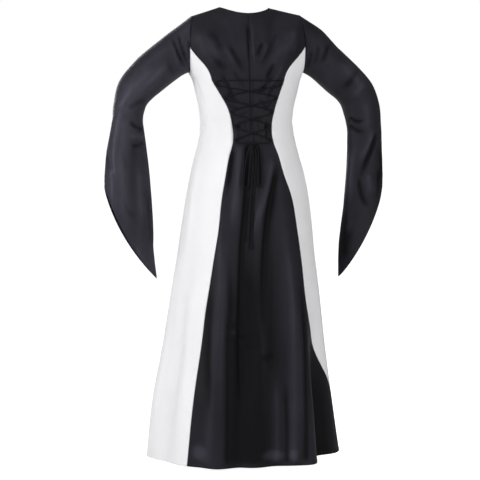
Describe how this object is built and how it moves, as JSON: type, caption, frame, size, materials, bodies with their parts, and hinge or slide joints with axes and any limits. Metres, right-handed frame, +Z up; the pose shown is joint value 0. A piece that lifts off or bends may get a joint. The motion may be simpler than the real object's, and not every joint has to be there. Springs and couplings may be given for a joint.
{
  "type": "dress",
  "caption": "Floor-length princess-seam dress, as worn: black back and front, white side gores, long pointed sleeves and a corded lacing with a bow at the back waist.",
  "frame": {"origin": "between the two neck points of the shoulders, where the wearer holds the dress up", "axes": "+Z up, +Y towards the back of the dress, +X towards the wearer's left"},
  "size_m": [0.9093, 0.4875, 1.42],
  "materials": {
    "black_cloth": "matte fine weave",
    "white_cloth": "matte fine weave",
    "lace": "braided cord"
  },
  "bodies": {
    "root": {"back_left": "black_cloth", "back_right": "black_cloth", "front": "black_cloth", "sleeve_left": "black_cloth", "sleeve_right": "black_cloth", "side_left": "white_cloth", "side_right": "white_cloth", "loop_left_1": "lace", "loop_left_2": "lace", "loop_left_3": "lace", "loop_left_4": "lace", "loop_left_5": "lace", "loop_right_1": "lace", "loop_right_2": "lace", "loop_right_3": "lace", "loop_right_4": "lace", "loop_right_5": "lace", "lace_left_strand": "lace", "lace_right_strand": "lace", "lace_knot": "lace", "lace_end_left": "lace", "lace_end_right": "lace", "tip_knot_left": "lace", "tip_knot_right": "lace", "bow_left": "lace", "bow_right": "lace"}
  },
  "joints": []
}
